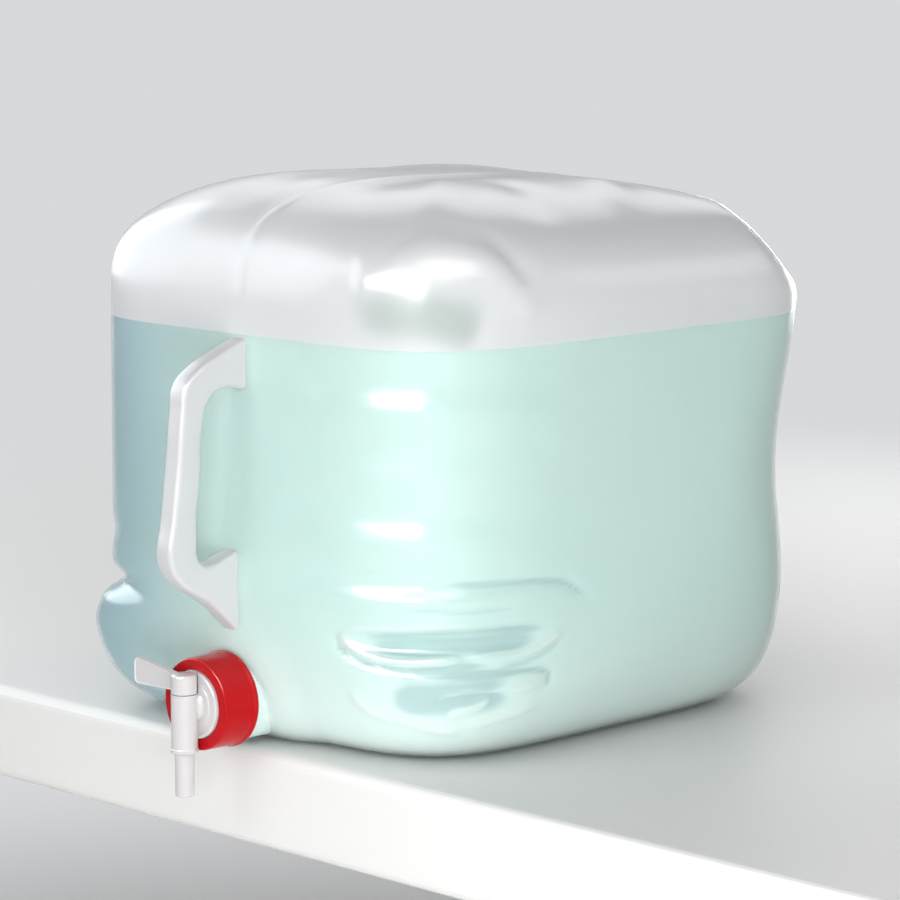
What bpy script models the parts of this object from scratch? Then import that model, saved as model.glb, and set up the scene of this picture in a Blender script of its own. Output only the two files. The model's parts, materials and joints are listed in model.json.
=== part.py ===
"""Collapsible water carrier: a milky blow-moulded tank of about 19 litres, two moulded handles, and a
spigot held on the tank's threaded neck by a red cap ring.

Frame: metres, +Z up. The base lies on z = 0, the neck and the spigot face -Y, and the carrier is laid
out about the plane x = 0. The tank collapses along Y, so it is made as a front wall, a fold wall and a
rear wall.
"""

import math

import bmesh
import bpy
from mathutils import Matrix, Vector

MM = 0.001

# Fit between pieces
GAP = 0.3 * MM
THREAD_GAP = 0.45 * MM
OVERRUN = 3.0 * MM
WELD = 0.01 * MM

# Meshing
SMOOTH_ANGLE = math.radians(35)
BEVEL_STEPS = 1
CURVE_STEPS = 2

# Tank: the plan is a superellipse, and so are its heel and its shoulder
TANK_WIDTH = 274.0 * MM
TANK_DEPTH = 298.0 * MM
TANK_HEIGHT = 276.0 * MM
WALL = 1.2 * MM
WAIST = 215.0 * MM
BASE_SAG = 2.5 * MM
PLAN_POWER = 4.7
HEEL_POWER = 8.3
SHOULDER_POWER = 3.0
COLUMNS = 12
COLUMN_CROWDING = 1.2
HEEL_ROWS = 5
PLEAT_ROWS = 10
SIDE_ROWS = 5
SHOULDER_ROWS = 4
HEEL_TOP_ANGLE = math.radians(30)
CROWN_EDGE_SHARE = 0.8

# End walls lean: they stand out below and draw in above
LEAN_OUT = 4.5 * MM
LEAN_IN = 3.0 * MM
LEAN_FROM = 80.0 * MM
LEAN_TO = 205.0 * MM

# Pleats round the two lower front corners. The one on -X bulges out in a lobe that runs down to the base,
# under a deep crease, and the one on +X has a shallow lobe and crease
PLEAT_TOP = 100.0 * MM
PLEAT_REACH = 72.0 * MM
LOBE_HEIGHT = 42.0 * MM
LOBE_RISE = 35.0 * MM
LOBE_FALL = 110.0 * MM
LOBE_SWELL = 12.8 * MM
CREASE_HEIGHT = 68.0 * MM
CREASE_SPAN = 10.0 * MM
CREASE_DEPTH = 7.5 * MM
SHALLOW_LOBE_HEIGHT = 42.0 * MM
SHALLOW_LOBE_SPAN = 22.0 * MM
SHALLOW_LOBE_SWELL = 2.9 * MM
SHALLOW_CREASE_HEIGHT = 63.0 * MM
SHALLOW_CREASE_SPAN = 11.0 * MM
SHALLOW_CREASE_DEPTH = 2.5 * MM
HUMP_HEIGHT = 78.0 * MM
HUMP_SPAN = 12.0 * MM
HUMP_SWELL = 0.9 * MM
UPPER_CREASE_HEIGHT = 94.0 * MM
UPPER_CREASE_SPAN = 10.0 * MM
UPPER_CREASE_DEPTH = 1.1 * MM

# The film has slumped at the rear corner on +X: its shoulder hangs, its side is drawn in and, above that,
# it stands out. The front corner on -X sags a little, and the whole crown falls towards +X and +Y
SLUMP = 23.0 * MM
SLUMP_REACH = 43.0 * MM
DENT_HEIGHT = 140.0 * MM
DENT_SPAN = 85.0 * MM
DENT_DEPTH = 6.0 * MM
DENT_REACH = 70.0 * MM
STAND_OUT = 5.2 * MM
STAND_FROM = 100.0 * MM
STAND_TO = 200.0 * MM
STAND_REACH = 90.0 * MM
SAG = 3.8 * MM
SAG_REACH = 78.0 * MM
CROWN_FALL_SHARE = 0.021

# Lengths of the front wall and the rear wall, which stay stiff when the tank collapses
FRONT_DEPTH = 32.0 * MM
REAR_DEPTH = 45.0 * MM

# Neck, on the front wall
NECK_HEIGHT = 24.6 * MM
NECK_RADIUS = 18.5 * MM
NECK_BORE = 16.0 * MM
NECK_REACH = 21.0 * MM
NECK_ROOT = 26.0 * MM
COLLAR_RADIUS = 21.5 * MM
COLLAR_REACH = 5.0 * MM
ROUND_SIDES = 36

# Thread: a helical ridge on the neck and a helical groove in the cap
THREAD_PITCH = 6.0 * MM
THREAD_TURNS = 1.5
THREAD_TURN_STEPS = 24
THREAD_TUBE = 1.3 * MM
THREAD_OFFSET = 0.1 * MM
THREAD_START = 10.5 * MM

# Gasket, flange and boss, stacked outwards from the neck's mouth
GASKET_RADIUS = 18.3 * MM
GASKET_BORE = 14.5 * MM
GASKET_THICK = 2.0 * MM
FLANGE_RADIUS = 18.7 * MM
FLANGE_THICK = 1.8 * MM
BOSS_RADIUS = 17.0 * MM
BOSS_PROUD = 1.5 * MM
BOSS_EDGE = 0.8 * MM
INLET_RADIUS = 7.0 * MM
INLET_BORE = 4.0 * MM
INLET_LENGTH = 10.0 * MM

# Cap ring
CAP_RADIUS = 23.0 * MM
CAP_FLARE = 0.4 * MM
CAP_RIM_RADIUS = 24.0 * MM
CAP_RIM_WIDTH = 1.8 * MM
CAP_BORE = 19.1 * MM
CAP_BACK = 7.0 * MM
LIP_THICK = 2.0 * MM
LIP_HOLE = 17.4 * MM
CAP_EDGE = 1.0 * MM

# Barrel of the spigot, upright in front of the boss
BARREL_RADIUS = 6.5 * MM
BARREL_SINK = 1.0 * MM
BARREL_BOTTOM = 1.7 * MM
BARREL_TOP = 31.0 * MM
BARREL_EDGE = 0.5 * MM
BARREL_SIDES = 32

# Valve plug, which turns in the barrel and ends in the spout
PLUG_RADIUS = 4.85 * MM
PLUG_BORE = 3.2 * MM
PLUG_HEAD_RADIUS = 6.4 * MM
PLUG_HEAD_TOP = 41.0 * MM
PLUG_HEAD_EDGE = 0.8 * MM
PLUG_ROOF = 3.0 * MM
HEAD_CLEARANCE = 0.6 * MM
PORT_RADIUS = 2.8 * MM
SPOUT_BOTTOM = -20.0 * MM
SPOUT_EDGE = 0.6 * MM
SNAP_BEAD = 0.8 * MM
SNAP_BEAD_HEIGHT = 1.2 * MM

# Wing lever on the plug's head
WING_LENGTH = 35.7 * MM
WING_THICK = 3.0 * MM
WING_ROOT_TOP = 39.8 * MM
WING_ROOT_BOTTOM = 32.2 * MM
WING_TIP_TOP = 45.1 * MM
WING_TIP_BOTTOM = 31.3 * MM
WING_CORNER = 3.0 * MM
WING_EDGE = 0.7 * MM

# Handle, drawn side on: shares of its reach, from a root plane sunk in the wall, and of its height
HANDLE_FOOT = 60.0 * MM
HANDLE_HEIGHT = 145.0 * MM
HANDLE_SINK = 11.0 * MM
HANDLE_REACH = 58.0 * MM
HANDLE_WIDTH = 12.0 * MM
HANDLE_EDGE = 2.6 * MM
HANDLE_SHARES = (
    (-0.20, 1.03),
    (0.10, 0.993),
    (0.38, 0.952),
    (0.68, 0.897),
    (0.81, 0.848),
    (0.85, 0.760),
    (0.90, 0.572),
    (0.96, 0.393),
    (1.00, 0.262),
    (0.91, 0.195),
    (0.53, 0.090),
    (0.29, 0.000),
    (0.05, -0.080),
    (0.05, 0.270),
    (0.38, 0.250),
    (0.49, 0.236),
    (0.65, 0.243),
    (0.70, 0.352),
    (0.66, 0.531),
    (0.62, 0.717),
    (0.55, 0.793),
    (0.41, 0.826),
    (0.12, 0.812),
    (-0.20, 0.800),
)

# Places along the neck's axis, measured outwards from the front wall's plane
GASKET_BACK = NECK_REACH + GAP
FLANGE_BACK = GASKET_BACK + GASKET_THICK + GAP
FLANGE_FRONT = FLANGE_BACK + FLANGE_THICK
LIP_BACK = FLANGE_FRONT + GAP
CAP_FRONT = LIP_BACK + LIP_THICK
BOSS_FRONT = CAP_FRONT + BOSS_PROUD
BARREL_AXIS = BOSS_FRONT + BARREL_RADIUS - BARREL_SINK

FRONT = -TANK_DEPTH / 2
NECK_FRAME = Matrix.Translation((0, FRONT, NECK_HEIGHT)) @ Matrix.Rotation(math.radians(90), 4, "X")
VALVE_PLACE = (0, FRONT - BARREL_AXIS, 0)
UPRIGHT = Matrix.Identity(4)


def clear_scene():
    for obj in list(bpy.data.objects):
        bpy.data.objects.remove(obj, do_unlink=True)


def new_collection(name):
    group = bpy.data.collections.new(name)
    bpy.context.scene.collection.children.link(group)
    return group


def material(name, colour, roughness, alpha=1.0):
    made = bpy.data.materials.new(name)
    made.use_nodes = True
    shader = made.node_tree.nodes["Principled BSDF"]
    shader.inputs["Base Color"].default_value = (*colour, 1.0)
    shader.inputs["Roughness"].default_value = roughness
    shader.inputs["Metallic"].default_value = 0.0
    shader.inputs["Alpha"].default_value = alpha
    return made


def place(obj, group, frame, finish=None):
    """Puts the object in its collection, at its frame."""
    group.objects.link(obj)
    obj.matrix_world = frame
    if finish:
        obj.data.materials.append(finish)
    return obj


def as_cutter(obj):
    obj.hide_render = True
    obj.display_type = "WIRE"
    return obj


def boolean(obj, other, operation):
    step = obj.modifiers.new(operation.title(), "BOOLEAN")
    step.operation = operation
    step.solver = "EXACT"
    step.object = other


def evaluated_mesh(obj):
    """The object's mesh with its modifiers worked in, and its loose caps welded."""
    bpy.context.view_layer.update()
    graph = bpy.context.evaluated_depsgraph_get()
    mesh = bpy.data.meshes.new_from_object(obj.evaluated_get(graph))
    edit = bmesh.new()
    edit.from_mesh(mesh)
    bmesh.ops.remove_doubles(edit, verts=edit.verts, dist=WELD)
    bmesh.ops.recalc_face_normals(edit, faces=edit.faces)
    edit.to_mesh(mesh)
    edit.free()
    return mesh


def smooth_sides(mesh):
    mesh.shade_smooth()
    mesh.set_sharp_from_angle(angle=SMOOTH_ANGLE)


def turned(name, profile, frame, group, finish=None, sides=ROUND_SIDES):
    """A closed profile of (radius, height) points, turned about the frame's own z axis."""
    mesh = bpy.data.meshes.new(name)
    points = [(radius, 0, height) for radius, height in profile]
    ring = [(index, (index + 1) % len(points)) for index in range(len(points))]
    if profile[0][0] == 0:
        ring.pop()
    mesh.from_pydata(points, ring, [])
    obj = place(bpy.data.objects.new(name, mesh), group, frame, finish)
    screw = obj.modifiers.new("Screw", "SCREW")
    screw.steps = sides
    screw.render_steps = sides
    screw.use_merge_vertices = True
    screw.merge_threshold = WELD
    return obj


def rod(name, radius, low, high, frame, group, sides=ROUND_SIDES):
    """A plain round bar between two heights of its frame."""
    mesh = bpy.data.meshes.new(name)
    edit = bmesh.new()
    middle = Matrix.Translation((0, 0, (low + high) / 2))
    bmesh.ops.create_cone(
        edit,
        cap_ends=True,
        segments=sides,
        radius1=radius,
        radius2=radius,
        depth=high - low,
        matrix=middle,
    )
    edit.to_mesh(mesh)
    edit.free()
    return place(bpy.data.objects.new(name, mesh), group, frame)


def slab(name, front, back, group):
    """A box wider and taller than the tank, between two places along Y."""
    mesh = bpy.data.meshes.new(name)
    edit = bmesh.new()
    size = (TANK_WIDTH + TANK_DEPTH, back - front, TANK_HEIGHT + TANK_DEPTH)
    bmesh.ops.create_cube(edit, size=1, matrix=Matrix.Diagonal((*size, 1)))
    edit.to_mesh(mesh)
    edit.free()
    frame = Matrix.Translation((0, (front + back) / 2, TANK_HEIGHT / 2))
    return as_cutter(place(bpy.data.objects.new(name, mesh), group, frame))


def helix_tube(name, tube, radius, start, turns, frame, group):
    """A round tube along a helix about the frame's z axis, made a mesh so that it can join or cut."""
    curve = bpy.data.curves.new(name, "CURVE")
    curve.dimensions = "3D"
    curve.bevel_depth = tube
    curve.bevel_resolution = BEVEL_STEPS
    curve.use_fill_caps = True
    count = round(turns * THREAD_TURN_STEPS) + 1
    line = curve.splines.new("POLY")
    line.points.add(count - 1)
    for index, point in enumerate(line.points):
        angle = 2 * math.pi * index / THREAD_TURN_STEPS
        height = start + THREAD_PITCH * index / THREAD_TURN_STEPS
        point.co = (radius * math.cos(angle), radius * math.sin(angle), height, 1)
    guide = place(bpy.data.objects.new(name + "_guide", curve), group, frame)
    mesh = evaluated_mesh(guide)
    bpy.data.objects.remove(guide)
    return as_cutter(place(bpy.data.objects.new(name, mesh), group, frame))


def bump(distance, span):
    """1 at no distance, falling smoothly to 0 at the span."""
    share = min(abs(distance) / span, 1.0)
    return math.cos(share * math.pi / 2) ** 2


def ramp(value, low, high):
    share = min(max((value - low) / (high - low), 0.0), 1.0)
    return share * share * (3 - 2 * share)


def heel_share(z):
    """Width of the plan at a height below the waist, as a share of the full plan."""
    depth = min((WAIST - z) / (WAIST + BASE_SAG), 1.0)
    return (1 - depth**HEEL_POWER) ** (1 / HEEL_POWER)


def crown_height(share):
    """Height of the shoulder and the crown where the plan is this share of the full plan."""
    rise = (1 - share**SHOULDER_POWER) ** (1 / SHOULDER_POWER)
    return WAIST + (TANK_HEIGHT - WAIST) * rise


def skin_rows():
    """Each row round the side, from the base up: its height and its share of the full plan."""
    full = WAIST + BASE_SAG
    flat_angle = math.asin((WAIST / full) ** (HEEL_POWER / 2))
    rows = []
    for step in range(HEEL_ROWS):
        angle = flat_angle + (HEEL_TOP_ANGLE - flat_angle) * step / HEEL_ROWS
        rows.append(WAIST - full * math.sin(angle) ** (2 / HEEL_POWER))
    heel_top = WAIST - full * math.sin(HEEL_TOP_ANGLE) ** (2 / HEEL_POWER)
    rows += [heel_top + (PLEAT_TOP - heel_top) * step / PLEAT_ROWS for step in range(PLEAT_ROWS)]
    rows += [PLEAT_TOP + (WAIST - PLEAT_TOP) * step / SIDE_ROWS for step in range(SIDE_ROWS)]
    placed = [(max(z, 0.0), heel_share(max(z, 0.0))) for z in rows]
    edge_angle = math.acos(CROWN_EDGE_SHARE ** (SHOULDER_POWER / 2))
    for step in range(SHOULDER_ROWS + 1):
        share = math.cos(edge_angle * step / SHOULDER_ROWS) ** (2 / SHOULDER_POWER)
        placed.append((crown_height(share), share))
    return placed


def plan_point(u, v, share):
    """Place in plan of a point of the unit square, drawn in by a share."""
    reach = max(abs(u), abs(v))
    if reach == 0:
        return 0.0, 0.0
    side, end = u / reach, v / reach
    pull = (abs(side) ** PLAN_POWER + abs(end) ** PLAN_POWER) ** (-1 / PLAN_POWER)
    return TANK_WIDTH / 2 * share * pull * side, TANK_DEPTH / 2 * share * pull * end


def pleats(z, lobed):
    """How far the pleats of a front corner stand out at a height."""
    swell = HUMP_SWELL * bump(z - HUMP_HEIGHT, HUMP_SPAN)
    swell -= UPPER_CREASE_DEPTH * bump(z - UPPER_CREASE_HEIGHT, UPPER_CREASE_SPAN)
    if lobed:
        span = LOBE_FALL if z < LOBE_HEIGHT else LOBE_RISE
        swell += LOBE_SWELL * bump(z - LOBE_HEIGHT, span)
        return swell - CREASE_DEPTH * bump(z - CREASE_HEIGHT, CREASE_SPAN)
    swell += SHALLOW_LOBE_SWELL * bump(z - SHALLOW_LOBE_HEIGHT, SHALLOW_LOBE_SPAN)
    return swell - SHALLOW_CREASE_DEPTH * bump(z - SHALLOW_CREASE_HEIGHT, SHALLOW_CREASE_SPAN)


def shaped(x, y, z):
    """The filled tank's own lean, pleats, slump and dent, added to the plain superellipse."""
    facing = math.cos(min(abs(x) / (TANK_WIDTH / 2), 1.0) * math.pi / 2) ** 2
    facing *= ramp(abs(y), TANK_DEPTH / 4, TANK_DEPTH / 2 - BASE_SAG)
    lean = LEAN_OUT - (LEAN_OUT + LEAN_IN) * ramp(z, LEAN_FROM, LEAN_TO)
    y += math.copysign(1, y) * lean * facing * ramp(z, 0, LEAN_OUT)
    corner = 2 ** (-1 / PLAN_POWER)
    corner_x, corner_y = TANK_WIDTH / 2 * corner, TANK_DEPTH / 2 * corner
    out = Vector((math.copysign(1, x), math.copysign(1, y))).normalized()
    far = math.hypot(abs(x) - corner_x, abs(y) - corner_y)
    swell = drop = 0.0
    if y < 0:
        swell = pleats(z, x < 0) * bump(far, PLEAT_REACH)
        if x < 0:
            drop = SAG * bump(far, SAG_REACH)
    elif x > 0:
        swell = STAND_OUT * ramp(z, STAND_FROM, STAND_TO) * bump(far, STAND_REACH)
        swell -= DENT_DEPTH * bump(z - DENT_HEIGHT, DENT_SPAN) * bump(far, DENT_REACH)
        drop = SLUMP * bump(far, SLUMP_REACH)
    drop = (drop + CROWN_FALL_SHARE * (x + y)) * ramp(z, WAIST - SLUMP, TANK_HEIGHT)
    return x + swell * out.x, y + swell * out.y, z - drop


def tank_solid(name, group):
    """The tank's outer form as a solid: a cube cut into a grid, with each point moved by the formula."""
    rows = skin_rows()
    edit = bmesh.new()
    bmesh.ops.create_cube(edit, size=2)
    for axis, cuts in ((0, COLUMNS), (1, COLUMNS), (2, len(rows) - 1)):
        for step in range(1, cuts):
            spot = Vector((0, 0, 0))
            spot[axis] = -1 + 2 * step / cuts
            across = Vector((0, 0, 0))
            across[axis] = 1
            whole = list(edit.verts) + list(edit.edges) + list(edit.faces)
            bmesh.ops.bisect_plane(edit, geom=whole, plane_co=spot, plane_no=across)
    crowd = math.sin(COLUMN_CROWDING)
    for vert in edit.verts:
        u = math.sin(vert.co.x * COLUMN_CROWDING) / crowd
        v = math.sin(vert.co.y * COLUMN_CROWDING) / crowd
        row = round((vert.co.z + 1) / 2 * (len(rows) - 1))
        z, share = rows[row]
        share *= max(abs(u), abs(v))
        if row == len(rows) - 1:
            z = crown_height(share)
        x, y = plan_point(u, v, share)
        vert.co = shaped(x, y, z)
    bmesh.ops.recalc_face_normals(edit, faces=edit.faces)
    mesh = bpy.data.meshes.new(name)
    edit.to_mesh(mesh)
    edit.free()
    return as_cutter(place(bpy.data.objects.new(name, mesh), group, UPRIGHT))


def offset_solid(name, source, distance, group):
    """A copy of a solid with its faces moved out along their normals, or in if the distance is negative."""
    edit = bmesh.new()
    edit.from_mesh(source.data)
    edit.normal_update()
    moved = [(vert, vert.normal * vert.calc_shell_factor() * distance) for vert in edit.verts]
    for vert, step in moved:
        vert.co += step
    mesh = bpy.data.meshes.new(name)
    edit.to_mesh(mesh)
    edit.free()
    return as_cutter(place(bpy.data.objects.new(name, mesh), group, UPRIGHT))


def make_tank(parts, cutters, film):
    """The moulded tank with its threaded neck, as front wall, fold wall and rear wall."""
    outer = tank_solid("tank_outer", cutters)
    inner = offset_solid("tank_inner", outer, -WALL, cutters)
    neck_profile = (
        (0, NECK_REACH),
        (NECK_RADIUS - WALL / 2, NECK_REACH),
        (NECK_RADIUS, NECK_REACH - WALL / 2),
        (NECK_RADIUS, COLLAR_REACH),
        (COLLAR_RADIUS, COLLAR_REACH - WALL),
        (COLLAR_RADIUS, -NECK_ROOT),
        (0, -NECK_ROOT),
    )
    neck = as_cutter(turned("neck_form", neck_profile, NECK_FRAME, cutters))
    ridge = helix_tube(
        "thread_ridge",
        THREAD_TUBE,
        NECK_RADIUS + THREAD_OFFSET,
        THREAD_START,
        THREAD_TURNS,
        NECK_FRAME,
        cutters,
    )
    bore = as_cutter(
        rod("neck_bore", NECK_BORE, -NECK_ROOT - OVERRUN, NECK_REACH + OVERRUN, NECK_FRAME, cutters)
    )
    whole = place(bpy.data.objects.new("tank_form", outer.data.copy()), cutters, UPRIGHT)
    boolean(whole, neck, "UNION")
    boolean(whole, ridge, "UNION")
    boolean(whole, inner, "DIFFERENCE")
    boolean(whole, bore, "DIFFERENCE")
    shell = evaluated_mesh(whole)
    bpy.data.objects.remove(whole)

    fold_front = FRONT_DEPTH - TANK_DEPTH / 2
    fold_rear = TANK_DEPTH / 2 - REAR_DEPTH
    far = TANK_DEPTH
    walls = (
        ("tank_front", -far, fold_front - GAP / 2),
        ("tank_fold_wall", fold_front + GAP / 2, fold_rear - GAP / 2),
        ("tank_rear", fold_rear + GAP / 2, far),
    )
    for name, front, back in walls:
        mesh = shell.copy()
        mesh.materials.clear()
        wall = place(bpy.data.objects.new(name, mesh), parts, UPRIGHT, film)
        boolean(wall, slab(name + "_slab", front, back, cutters), "INTERSECT")
        smooth_sides(mesh)
    return outer


def handle_form(name, group):
    """The handle's side outline with rounded edges, in its own frame: x outwards, y up, z across."""
    curve = bpy.data.curves.new(name, "CURVE")
    curve.dimensions = "2D"
    curve.fill_mode = "BOTH"
    curve.extrude = HANDLE_WIDTH / 2 - HANDLE_EDGE
    curve.bevel_depth = HANDLE_EDGE
    curve.bevel_resolution = BEVEL_STEPS
    curve.offset = -HANDLE_EDGE
    curve.resolution_u = CURVE_STEPS
    outline = curve.splines.new("BEZIER")
    outline.bezier_points.add(len(HANDLE_SHARES) - 1)
    outline.use_cyclic_u = True
    for knot, (out, up) in zip(outline.bezier_points, HANDLE_SHARES):
        knot.co = (out * HANDLE_REACH, up * HANDLE_HEIGHT, 0)
        knot.handle_left_type = "AUTO"
        knot.handle_right_type = "AUTO"
    guide = place(bpy.data.objects.new(name + "_guide", curve), group, UPRIGHT)
    mesh = evaluated_mesh(guide)
    bpy.data.objects.remove(guide)
    return mesh


def make_handles(parts, cutters, outer, finish):
    """Both handles, one on each end wall, cut back to the wall with a gap."""
    wall = offset_solid("tank_clearance", outer, GAP, cutters)
    mesh = handle_form("handle_form", cutters)
    out_up = Matrix(((0, 0, -1, 0), (-1, 0, 0, 0), (0, 1, 0, 0), (0, 0, 0, 1)))
    front = Matrix.Translation((0, FRONT + HANDLE_SINK, HANDLE_FOOT)) @ out_up
    rear = Matrix.Rotation(math.pi, 4, "Z") @ front
    for name, frame in (("front_handle", front), ("rear_handle", rear)):
        handle = place(bpy.data.objects.new(name, mesh.copy()), parts, frame, finish)
        boolean(handle, wall, "DIFFERENCE")
        smooth_sides(handle.data)


def make_gasket(parts, rubber):
    profile = (
        (GASKET_RADIUS, GASKET_BACK + GASKET_THICK),
        (GASKET_RADIUS, GASKET_BACK),
        (GASKET_BORE, GASKET_BACK),
        (GASKET_BORE, GASKET_BACK + GASKET_THICK),
    )
    gasket = turned("neck_gasket", profile, NECK_FRAME, parts, rubber)
    smooth_sides(gasket.data)


def make_cap(parts, cutters, red):
    """The red ring that draws the spigot's flange onto the neck."""
    profile = (
        (LIP_HOLE, CAP_FRONT),
        (CAP_RADIUS - CAP_EDGE, CAP_FRONT),
        (CAP_RADIUS, CAP_FRONT - CAP_EDGE),
        (CAP_RADIUS + CAP_FLARE, CAP_BACK + CAP_RIM_WIDTH + CAP_EDGE),
        (CAP_RIM_RADIUS, CAP_BACK + CAP_RIM_WIDTH),
        (CAP_RIM_RADIUS, CAP_BACK),
        (CAP_BORE + CAP_EDGE, CAP_BACK),
        (CAP_BORE, CAP_BACK + CAP_EDGE),
        (CAP_BORE, LIP_BACK),
        (LIP_HOLE, LIP_BACK),
    )
    cap = turned("cap_ring", profile, NECK_FRAME, parts, red)
    turns_to_rim = math.ceil((THREAD_START - CAP_BACK + OVERRUN) / THREAD_PITCH)
    groove = helix_tube(
        "cap_groove",
        THREAD_TUBE + THREAD_GAP,
        NECK_RADIUS + THREAD_OFFSET,
        THREAD_START - turns_to_rim * THREAD_PITCH,
        THREAD_TURNS + turns_to_rim + 1 / THREAD_TURN_STEPS,
        NECK_FRAME,
        cutters,
    )
    boolean(cap, groove, "DIFFERENCE")


def make_spigot(parts, cutters, white):
    """Flange, boss and inlet tube turned about the neck's axis, and the upright barrel in front.

    The barrel is made too tall, and the room cut for the plug's head trims it to its top.
    """
    profile = (
        (0, BOSS_FRONT),
        (BOSS_RADIUS - BOSS_EDGE, BOSS_FRONT),
        (BOSS_RADIUS, BOSS_FRONT - BOSS_EDGE),
        (BOSS_RADIUS, FLANGE_FRONT),
        (FLANGE_RADIUS, FLANGE_FRONT),
        (FLANGE_RADIUS, FLANGE_BACK),
        (INLET_RADIUS, FLANGE_BACK),
        (INLET_RADIUS, FLANGE_BACK - INLET_LENGTH),
        (0, FLANGE_BACK - INLET_LENGTH),
    )
    body = turned("spigot_body", profile, NECK_FRAME, parts, white)
    upright = Matrix.Translation(VALVE_PLACE)
    barrel_profile = (
        (0, BARREL_TOP + OVERRUN),
        (BARREL_RADIUS, BARREL_TOP + OVERRUN),
        (BARREL_RADIUS, BARREL_BOTTOM + BARREL_EDGE),
        (BARREL_RADIUS - BARREL_EDGE, BARREL_BOTTOM),
        (0, BARREL_BOTTOM),
    )
    barrel = as_cutter(
        turned("barrel_form", barrel_profile, upright, cutters, sides=BARREL_SIDES)
    )
    valve_bore = as_cutter(
        rod(
            "valve_bore",
            PLUG_RADIUS + GAP,
            BARREL_BOTTOM - OVERRUN,
            BARREL_TOP + OVERRUN,
            upright,
            cutters,
            BARREL_SIDES,
        )
    )
    inlet_bore = as_cutter(
        rod(
            "inlet_bore",
            INLET_BORE,
            FLANGE_BACK - INLET_LENGTH - OVERRUN,
            BARREL_AXIS,
            NECK_FRAME,
            cutters,
            BARREL_SIDES,
        )
    )
    head_room = as_cutter(
        rod(
            "head_room",
            PLUG_HEAD_RADIUS + HEAD_CLEARANCE,
            BARREL_TOP,
            NECK_HEIGHT + BOSS_RADIUS + OVERRUN,
            upright,
            cutters,
            BARREL_SIDES,
        )
    )
    boolean(body, barrel, "UNION")
    boolean(body, inlet_bore, "DIFFERENCE")
    boolean(body, head_room, "DIFFERENCE")
    boolean(body, valve_bore, "DIFFERENCE")


def wing_form(group, frame):
    """The flat fan of the lever, with rounded tips and edges, drawn in its own x (out) and y (up)."""
    curve = bpy.data.curves.new("wing_form", "CURVE")
    curve.dimensions = "2D"
    curve.fill_mode = "BOTH"
    curve.extrude = WING_THICK / 2 - WING_EDGE
    curve.bevel_depth = WING_EDGE
    curve.bevel_resolution = BEVEL_STEPS
    curve.offset = -WING_EDGE
    corners = (
        (0, WING_ROOT_BOTTOM),
        (WING_LENGTH - WING_CORNER, WING_TIP_BOTTOM),
        (WING_LENGTH, WING_TIP_BOTTOM + WING_CORNER),
        (WING_LENGTH, WING_TIP_TOP - WING_CORNER),
        (WING_LENGTH - WING_CORNER, WING_TIP_TOP),
        (0, WING_ROOT_TOP),
    )
    outline = curve.splines.new("POLY")
    outline.points.add(len(corners) - 1)
    outline.use_cyclic_u = True
    for knot, (out, up) in zip(outline.points, corners):
        knot.co = (out, up, 0, 1)
    guide = place(bpy.data.objects.new("wing_guide", curve), group, UPRIGHT)
    mesh = evaluated_mesh(guide)
    bpy.data.objects.remove(guide)
    return as_cutter(place(bpy.data.objects.new("wing_form", mesh), group, frame))


def make_plug(parts, cutters, white):
    """The plug that turns in the barrel: wing lever above, hollow spout below, a port in its side."""
    profile = (
        (0, PLUG_HEAD_TOP),
        (PLUG_HEAD_RADIUS - PLUG_HEAD_EDGE, PLUG_HEAD_TOP),
        (PLUG_HEAD_RADIUS, PLUG_HEAD_TOP - PLUG_HEAD_EDGE),
        (PLUG_HEAD_RADIUS, BARREL_TOP + GAP),
        (PLUG_RADIUS, BARREL_TOP + GAP),
        (PLUG_RADIUS, BARREL_BOTTOM - GAP),
        (PLUG_RADIUS + SNAP_BEAD, BARREL_BOTTOM - GAP),
        (PLUG_RADIUS, BARREL_BOTTOM - GAP - SNAP_BEAD_HEIGHT),
        (PLUG_RADIUS, SPOUT_BOTTOM + SPOUT_EDGE),
        (PLUG_RADIUS - SPOUT_EDGE, SPOUT_BOTTOM),
        (PLUG_BORE, SPOUT_BOTTOM),
        (PLUG_BORE, NECK_HEIGHT + PLUG_ROOF),
        (0, NECK_HEIGHT + PLUG_ROOF),
    )
    upright = Matrix.Translation(VALVE_PLACE)
    plug = turned("valve_plug", profile, upright, parts, white, BARREL_SIDES)
    out_up = Matrix(((-1, 0, 0, 0), (0, 0, 1, 0), (0, 1, 0, 0), (0, 0, 0, 1)))
    wing = wing_form(cutters, upright @ out_up)
    port_frame = Matrix.Translation((VALVE_PLACE[0], VALVE_PLACE[1], NECK_HEIGHT))
    port_frame = port_frame @ Matrix.Rotation(math.radians(90), 4, "Y")
    port = as_cutter(
        rod("plug_port", PORT_RADIUS, 0, PLUG_RADIUS + OVERRUN, port_frame, cutters, BARREL_SIDES)
    )
    boolean(plug, wing, "UNION")
    boolean(plug, port, "DIFFERENCE")


def main():
    clear_scene()
    parts = new_collection("water_carrier")
    cutters = new_collection("cutters")
    film = material("milky_film", (0.80, 0.88, 0.87), 0.35, alpha=0.8)
    moulding = material("white_moulding", (0.86, 0.84, 0.85), 0.4)
    spigot_white = material("spigot_white", (0.90, 0.90, 0.91), 0.3)
    red = material("red_cap", (0.75, 0.02, 0.02), 0.35)
    rubber = material("gasket_rubber", (0.25, 0.25, 0.26), 0.7)
    outer = make_tank(parts, cutters, film)
    make_handles(parts, cutters, outer, moulding)
    make_gasket(parts, rubber)
    make_cap(parts, cutters, red)
    make_spigot(parts, cutters, spigot_white)
    make_plug(parts, cutters, spigot_white)


main()
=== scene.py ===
import json
import math

import bmesh
import bpy
import numpy as np
from mathutils import Matrix, Vector

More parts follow.
